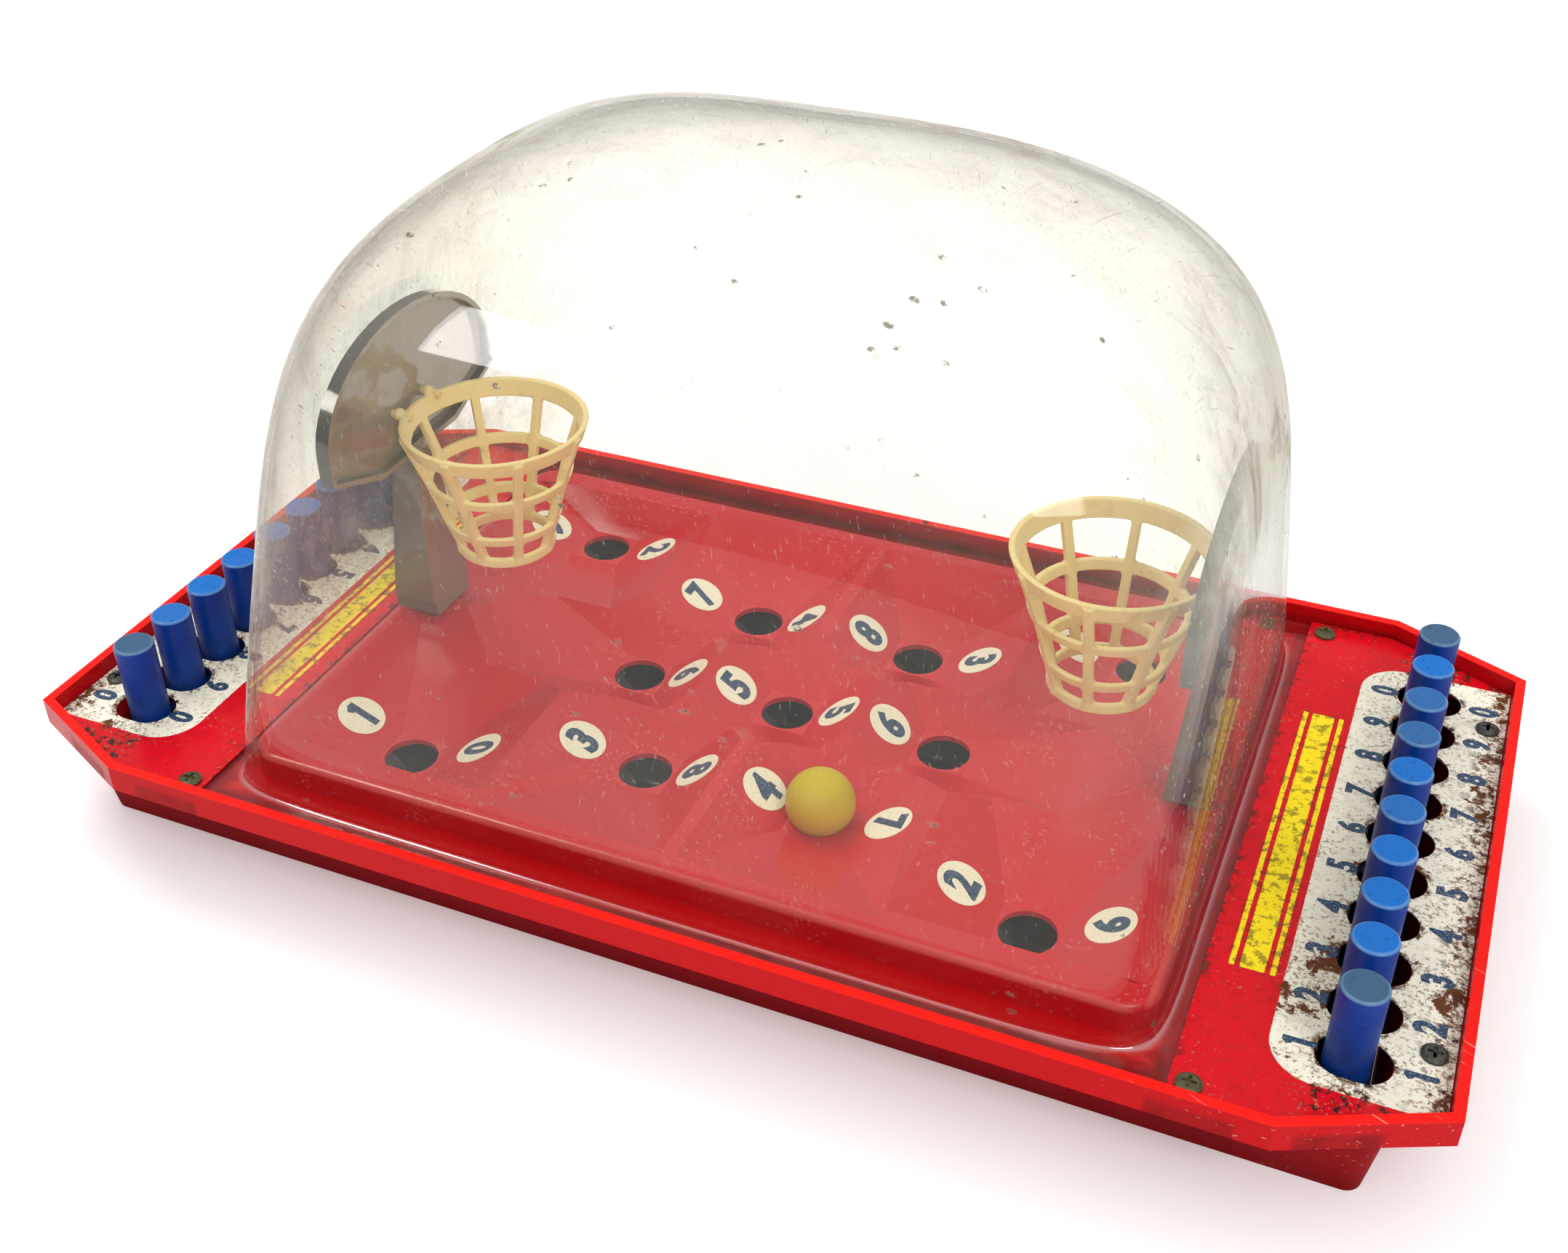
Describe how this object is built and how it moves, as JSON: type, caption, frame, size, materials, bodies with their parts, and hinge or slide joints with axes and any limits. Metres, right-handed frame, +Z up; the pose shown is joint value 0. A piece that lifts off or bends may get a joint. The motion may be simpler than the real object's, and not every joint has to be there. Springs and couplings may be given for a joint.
{
  "type": "tabletop basketball game",
  "caption": "Two-player tabletop basketball game with a pitted court under a clear dome, two baskets and a row of pull keys at each end that drive strikers.",
  "frame": {"origin": "centre of the base on the table", "axes": "+X along the game to the right-hand player, +Y across it, +Z up"},
  "size_m": [0.3632, 0.1918, 0.187],
  "materials": {
    "red_plastic": "gloss",
    "black_plastic": "matt",
    "court_red": "satin",
    "cream_paper": "matt",
    "clear_plastic": "gloss",
    "printed_tin": "gloss",
    "smoke_plastic": "gloss",
    "cream_plastic": "satin",
    "yellow_ball": "matt",
    "blue_plastic": "gloss",
    "bright_steel": "bright",
    "spring_steel": "satin",
    "tarnished_brass": "tarnished"
  },
  "bodies": {
    "frame": {"tray": "red_plastic", "base_cover": "black_plastic", "court": "court_red", "number_stickers": "cream_paper", "dome": "clear_plastic", "end_plate_right": "printed_tin", "end_plate_left": "printed_tin", "backboard_right": "smoke_plastic", "backboard_left": "smoke_plastic", "basket_right": "cream_plastic", "basket_left": "cream_plastic", "key_shaft_right": "bright_steel", "key_shaft_left": "bright_steel", "return_comb_right": "spring_steel", "return_comb_left": "spring_steel", "plate_screws": "tarnished_brass", "post_screws": "bright_steel", "base_screws": "bright_steel"},
    "ball": {"ball": "yellow_ball"},
    "key_r1": {"key_r1": "blue_plastic"},
    "striker_r1": {"striker_r1": "black_plastic"},
    "key_r2": {"key_r2": "blue_plastic"},
    "striker_r2": {"striker_r2": "black_plastic"},
    "key_r3": {"key_r3": "blue_plastic"},
    "striker_r3": {"striker_r3": "black_plastic"},
    "key_r4": {"key_r4": "blue_plastic"},
    "striker_r4": {"striker_r4": "black_plastic"},
    "key_r5": {"key_r5": "blue_plastic"},
    "striker_r5": {"striker_r5": "black_plastic"},
    "key_r6": {"key_r6": "blue_plastic"},
    "striker_r6": {"striker_r6": "black_plastic"},
    "key_r7": {"key_r7": "blue_plastic"},
    "striker_r7": {"striker_r7": "black_plastic"},
    "key_r8": {"key_r8": "blue_plastic"},
    "striker_r8": {"striker_r8": "black_plastic"},
    "key_r9": {"key_r9": "blue_plastic"},
    "striker_r9": {"striker_r9": "black_plastic"},
    "key_r0": {"key_r0": "blue_plastic"},
    "striker_r0": {"striker_r0": "black_plastic"},
    "key_l1": {"key_l1": "blue_plastic"},
    "striker_l1": {"striker_l1": "black_plastic"},
    "key_l2": {"key_l2": "blue_plastic"},
    "striker_l2": {"striker_l2": "black_plastic"},
    "key_l3": {"key_l3": "blue_plastic"},
    "striker_l3": {"striker_l3": "black_plastic"},
    "key_l4": {"key_l4": "blue_plastic"},
    "striker_l4": {"striker_l4": "black_plastic"},
    "key_l5": {"key_l5": "blue_plastic"},
    "striker_l5": {"striker_l5": "black_plastic"},
    "key_l6": {"key_l6": "blue_plastic"},
    "striker_l6": {"striker_l6": "black_plastic"},
    "key_l7": {"key_l7": "blue_plastic"},
    "striker_l7": {"striker_l7": "black_plastic"},
    "key_l8": {"key_l8": "blue_plastic"},
    "striker_l8": {"striker_l8": "black_plastic"},
    "key_l9": {"key_l9": "blue_plastic"},
    "striker_l9": {"striker_l9": "black_plastic"},
    "key_l0": {"key_l0": "blue_plastic"},
    "striker_l0": {"striker_l0": "black_plastic"}
  },
  "joints": [
    {"name": "key_r1_pull", "type": "hinge", "parent": "frame", "child": "key_r1", "pos_m": [0.1574, -0.0675, 0.017], "axis": [0, 1, 0], "range_deg": [0, 20], "stiffness_Nm_per_rad": 0.02, "springref_deg": -6.88, "deforming": ["return_comb_right"]},
    {"name": "striker_r1_slide", "type": "slide", "parent": "frame", "child": "striker_r1", "axis": [-1, 0, 0], "range_m": [0, 0.0036]},
    {"name": "key_r2_pull", "type": "hinge", "parent": "frame", "child": "key_r2", "pos_m": [0.1574, -0.0525, 0.017], "axis": [0, 1, 0], "range_deg": [0, 20], "stiffness_Nm_per_rad": 0.02, "springref_deg": -6.88, "deforming": ["return_comb_right"]},
    {"name": "striker_r2_slide", "type": "slide", "parent": "frame", "child": "striker_r2", "axis": [-1, 0, 0], "range_m": [0, 0.0036]},
    {"name": "key_r3_pull", "type": "hinge", "parent": "frame", "child": "key_r3", "pos_m": [0.1574, -0.0375, 0.017], "axis": [0, 1, 0], "range_deg": [0, 20], "stiffness_Nm_per_rad": 0.02, "springref_deg": -6.88, "deforming": ["return_comb_right"]},
    {"name": "striker_r3_slide", "type": "slide", "parent": "frame", "child": "striker_r3", "axis": [-1, 0, 0], "range_m": [0, 0.0036]},
    {"name": "key_r4_pull", "type": "hinge", "parent": "frame", "child": "key_r4", "pos_m": [0.1574, -0.0225, 0.017], "axis": [0, 1, 0], "range_deg": [0, 20], "stiffness_Nm_per_rad": 0.02, "springref_deg": -6.88, "deforming": ["return_comb_right"]},
    {"name": "striker_r4_slide", "type": "slide", "parent": "frame", "child": "striker_r4", "axis": [-1, 0, 0], "range_m": [0, 0.0036]},
    {"name": "key_r5_pull", "type": "hinge", "parent": "frame", "child": "key_r5", "pos_m": [0.1574, -0.0075, 0.017], "axis": [0, 1, 0], "range_deg": [0, 20], "stiffness_Nm_per_rad": 0.02, "springref_deg": -6.88, "deforming": ["return_comb_right"]},
    {"name": "striker_r5_slide", "type": "slide", "parent": "frame", "child": "striker_r5", "axis": [-1, 0, 0], "range_m": [0, 0.0036]},
    {"name": "key_r6_pull", "type": "hinge", "parent": "frame", "child": "key_r6", "pos_m": [0.1574, 0.0075, 0.017], "axis": [0, 1, 0], "range_deg": [0, 20], "stiffness_Nm_per_rad": 0.02, "springref_deg": -6.88, "deforming": ["return_comb_right"]},
    {"name": "striker_r6_slide", "type": "slide", "parent": "frame", "child": "striker_r6", "axis": [-1, 0, 0], "range_m": [0, 0.0036]},
    {"name": "key_r7_pull", "type": "hinge", "parent": "frame", "child": "key_r7", "pos_m": [0.1574, 0.0225, 0.017], "axis": [0, 1, 0], "range_deg": [0, 20], "stiffness_Nm_per_rad": 0.02, "springref_deg": -6.88, "deforming": ["return_comb_right"]},
    {"name": "striker_r7_slide", "type": "slide", "parent": "frame", "child": "striker_r7", "axis": [-1, 0, 0], "range_m": [0, 0.0036]},
    {"name": "key_r8_pull", "type": "hinge", "parent": "frame", "child": "key_r8", "pos_m": [0.1574, 0.0375, 0.017], "axis": [0, 1, 0], "range_deg": [0, 20], "stiffness_Nm_per_rad": 0.02, "springref_deg": -6.88, "deforming": ["return_comb_right"]},
    {"name": "striker_r8_slide", "type": "slide", "parent": "frame", "child": "striker_r8", "axis": [-1, 0, 0], "range_m": [0, 0.0036]},
    {"name": "key_r9_pull", "type": "hinge", "parent": "frame", "child": "key_r9", "pos_m": [0.1574, 0.0525, 0.017], "axis": [0, 1, 0], "range_deg": [0, 20], "stiffness_Nm_per_rad": 0.02, "springref_deg": -6.88, "deforming": ["return_comb_right"]},
    {"name": "striker_r9_slide", "type": "slide", "parent": "frame", "child": "striker_r9", "axis": [-1, 0, 0], "range_m": [0, 0.0036]},
    {"name": "key_r0_pull", "type": "hinge", "parent": "frame", "child": "key_r0", "pos_m": [0.1574, 0.0675, 0.017], "axis": [0, 1, 0], "range_deg": [0, 20], "stiffness_Nm_per_rad": 0.02, "springref_deg": -6.88, "deforming": ["return_comb_right"]},
    {"name": "striker_r0_slide", "type": "slide", "parent": "frame", "child": "striker_r0", "axis": [-1, 0, 0], "range_m": [0, 0.0036]},
    {"name": "key_l1_pull", "type": "hinge", "parent": "frame", "child": "key_l1", "pos_m": [-0.1574, 0.0675, 0.017], "axis": [0, -1, 0], "range_deg": [0, 20], "stiffness_Nm_per_rad": 0.02, "springref_deg": -6.88, "deforming": ["return_comb_left"]},
    {"name": "striker_l1_slide", "type": "slide", "parent": "frame", "child": "striker_l1", "axis": [1, 0, 0], "range_m": [0, 0.0036]},
    {"name": "key_l2_pull", "type": "hinge", "parent": "frame", "child": "key_l2", "pos_m": [-0.1574, 0.0525, 0.017], "axis": [0, -1, 0], "range_deg": [0, 20], "stiffness_Nm_per_rad": 0.02, "springref_deg": -6.88, "deforming": ["return_comb_left"]},
    {"name": "striker_l2_slide", "type": "slide", "parent": "frame", "child": "striker_l2", "axis": [1, 0, 0], "range_m": [0, 0.0036]},
    {"name": "key_l3_pull", "type": "hinge", "parent": "frame", "child": "key_l3", "pos_m": [-0.1574, 0.0375, 0.017], "axis": [0, -1, 0], "range_deg": [0, 20], "stiffness_Nm_per_rad": 0.02, "springref_deg": -6.88, "deforming": ["return_comb_left"]},
    {"name": "striker_l3_slide", "type": "slide", "parent": "frame", "child": "striker_l3", "axis": [1, 0, 0], "range_m": [0, 0.0036]},
    {"name": "key_l4_pull", "type": "hinge", "parent": "frame", "child": "key_l4", "pos_m": [-0.1574, 0.0225, 0.017], "axis": [0, -1, 0], "range_deg": [0, 20], "stiffness_Nm_per_rad": 0.02, "springref_deg": -6.88, "deforming": ["return_comb_left"]},
    {"name": "striker_l4_slide", "type": "slide", "parent": "frame", "child": "striker_l4", "axis": [1, 0, 0], "range_m": [0, 0.0036]},
    {"name": "key_l5_pull", "type": "hinge", "parent": "frame", "child": "key_l5", "pos_m": [-0.1574, 0.0075, 0.017], "axis": [0, -1, 0], "range_deg": [0, 20], "stiffness_Nm_per_rad": 0.02, "springref_deg": -6.88, "deforming": ["return_comb_left"]},
    {"name": "striker_l5_slide", "type": "slide", "parent": "frame", "child": "striker_l5", "axis": [1, 0, 0], "range_m": [0, 0.0036]},
    {"name": "key_l6_pull", "type": "hinge", "parent": "frame", "child": "key_l6", "pos_m": [-0.1574, -0.0075, 0.017], "axis": [0, -1, 0], "range_deg": [0, 20], "stiffness_Nm_per_rad": 0.02, "springref_deg": -6.88, "deforming": ["return_comb_left"]},
    {"name": "striker_l6_slide", "type": "slide", "parent": "frame", "child": "striker_l6", "axis": [1, 0, 0], "range_m": [0, 0.0036]},
    {"name": "key_l7_pull", "type": "hinge", "parent": "frame", "child": "key_l7", "pos_m": [-0.1574, -0.0225, 0.017], "axis": [0, -1, 0], "range_deg": [0, 20], "stiffness_Nm_per_rad": 0.02, "springref_deg": -6.88, "deforming": ["return_comb_left"]},
    {"name": "striker_l7_slide", "type": "slide", "parent": "frame", "child": "striker_l7", "axis": [1, 0, 0], "range_m": [0, 0.0036]},
    {"name": "key_l8_pull", "type": "hinge", "parent": "frame", "child": "key_l8", "pos_m": [-0.1574, -0.0375, 0.017], "axis": [0, -1, 0], "range_deg": [0, 20], "stiffness_Nm_per_rad": 0.02, "springref_deg": -6.88, "deforming": ["return_comb_left"]},
    {"name": "striker_l8_slide", "type": "slide", "parent": "frame", "child": "striker_l8", "axis": [1, 0, 0], "range_m": [0, 0.0036]},
    {"name": "key_l9_pull", "type": "hinge", "parent": "frame", "child": "key_l9", "pos_m": [-0.1574, -0.0525, 0.017], "axis": [0, -1, 0], "range_deg": [0, 20], "stiffness_Nm_per_rad": 0.02, "springref_deg": -6.88, "deforming": ["return_comb_left"]},
    {"name": "striker_l9_slide", "type": "slide", "parent": "frame", "child": "striker_l9", "axis": [1, 0, 0], "range_m": [0, 0.0036]},
    {"name": "key_l0_pull", "type": "hinge", "parent": "frame", "child": "key_l0", "pos_m": [-0.1574, -0.0675, 0.017], "axis": [0, -1, 0], "range_deg": [0, 20], "stiffness_Nm_per_rad": 0.02, "springref_deg": -6.88, "deforming": ["return_comb_left"]},
    {"name": "striker_l0_slide", "type": "slide", "parent": "frame", "child": "striker_l0", "axis": [1, 0, 0], "range_m": [0, 0.0036]},
    {"name": "ball_flight", "type": "slide", "parent": "frame", "child": "ball", "axis": [0, 0, 1], "range_m": [0, 0.11]}
  ],
  "couplings": [
    {"joint": "striker_r1_slide", "follows": "key_r1_pull", "m_per_rad": 0.0101},
    {"joint": "striker_r2_slide", "follows": "key_r2_pull", "m_per_rad": 0.0101},
    {"joint": "striker_r3_slide", "follows": "key_r3_pull", "m_per_rad": 0.0101},
    {"joint": "striker_r4_slide", "follows": "key_r4_pull", "m_per_rad": 0.0101},
    {"joint": "striker_r5_slide", "follows": "key_r5_pull", "m_per_rad": 0.0101},
    {"joint": "striker_r6_slide", "follows": "key_r6_pull", "m_per_rad": 0.0101},
    {"joint": "striker_r7_slide", "follows": "key_r7_pull", "m_per_rad": 0.0101},
    {"joint": "striker_r8_slide", "follows": "key_r8_pull", "m_per_rad": 0.0101},
    {"joint": "striker_r9_slide", "follows": "key_r9_pull", "m_per_rad": 0.0101},
    {"joint": "striker_r0_slide", "follows": "key_r0_pull", "m_per_rad": 0.0101},
    {"joint": "striker_l1_slide", "follows": "key_l1_pull", "m_per_rad": 0.0101},
    {"joint": "striker_l2_slide", "follows": "key_l2_pull", "m_per_rad": 0.0101},
    {"joint": "striker_l3_slide", "follows": "key_l3_pull", "m_per_rad": 0.0101},
    {"joint": "striker_l4_slide", "follows": "key_l4_pull", "m_per_rad": 0.0101},
    {"joint": "striker_l5_slide", "follows": "key_l5_pull", "m_per_rad": 0.0101},
    {"joint": "striker_l6_slide", "follows": "key_l6_pull", "m_per_rad": 0.0101},
    {"joint": "striker_l7_slide", "follows": "key_l7_pull", "m_per_rad": 0.0101},
    {"joint": "striker_l8_slide", "follows": "key_l8_pull", "m_per_rad": 0.0101},
    {"joint": "striker_l9_slide", "follows": "key_l9_pull", "m_per_rad": 0.0101},
    {"joint": "striker_l0_slide", "follows": "key_l0_pull", "m_per_rad": 0.0101}
  ]
}
